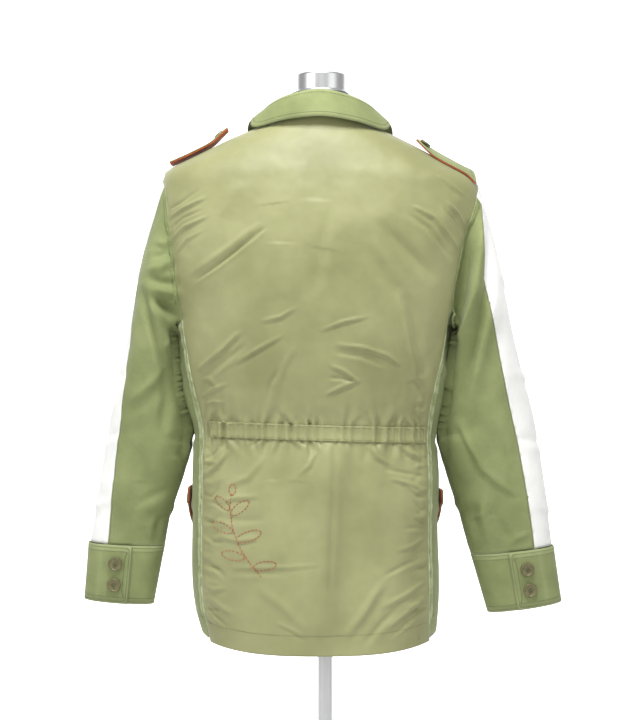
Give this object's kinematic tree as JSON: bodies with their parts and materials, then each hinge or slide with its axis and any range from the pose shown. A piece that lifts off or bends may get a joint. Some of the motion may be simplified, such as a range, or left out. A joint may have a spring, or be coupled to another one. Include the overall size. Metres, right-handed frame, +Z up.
{
  "type": "field jacket on limbless dress form stand",
  "caption": "Hip-length field jacket with a gathered waist, striped sleeves and buttoned cuffs, worn by a limbless dress form on a pole and round base.",
  "frame": {"origin": "centre of the round base's underside, on the surface it stands on", "axes": "+Z up, -Y the way the jacket's front faces, +X towards the wearer's left sleeve"},
  "size_m": [0.6715, 0.32, 1.294],
  "materials": {
    "nylon_satin": "satin-weave nylon with a soft sheen, khaki",
    "cotton_twill": "washed cotton twill, matte olive green",
    "white_twill": "matte white cotton twill",
    "rust_lining": "matte rust-orange cotton",
    "button_plastic": "moulded plastic, olive brown",
    "form_jersey": "black jersey stretched over a hard shell",
    "chrome": "polished chrome plate"
  },
  "bodies": {
    "root": {"back_panel": "nylon_satin", "waist_casing": "nylon_satin", "front_left": "cotton_twill", "front_right": "cotton_twill", "front_placket": "cotton_twill", "collar": "cotton_twill", "form_torso": "form_jersey", "neck_cap": "chrome", "pole": "chrome", "base": "chrome", "front_button_1": "button_plastic", "front_button_2": "button_plastic", "front_button_3": "button_plastic", "front_button_4": "button_plastic", "front_button_5": "button_plastic", "sleeve_left_back": "cotton_twill", "sleeve_left_stripe": "white_twill", "sleeve_left_front": "cotton_twill", "cuff_left": "cotton_twill", "cuff_button_left_1": "button_plastic", "cuff_button_left_2": "button_plastic", "epaulette_left": "cotton_twill", "epaulette_left_lining": "rust_lining", "epaulette_button_left": "button_plastic", "pocket_left": "cotton_twill", "pocket_flap_left": "cotton_twill", "pocket_flap_left_lining": "rust_lining", "sleeve_right_back": "cotton_twill", "sleeve_right_stripe": "white_twill", "sleeve_right_front": "cotton_twill", "cuff_right": "cotton_twill", "cuff_button_right_1": "button_plastic", "cuff_button_right_2": "button_plastic", "epaulette_right": "cotton_twill", "epaulette_right_lining": "rust_lining", "epaulette_button_right": "button_plastic", "pocket_right": "cotton_twill", "pocket_flap_right": "cotton_twill", "pocket_flap_right_lining": "rust_lining"}
  },
  "joints": []
}
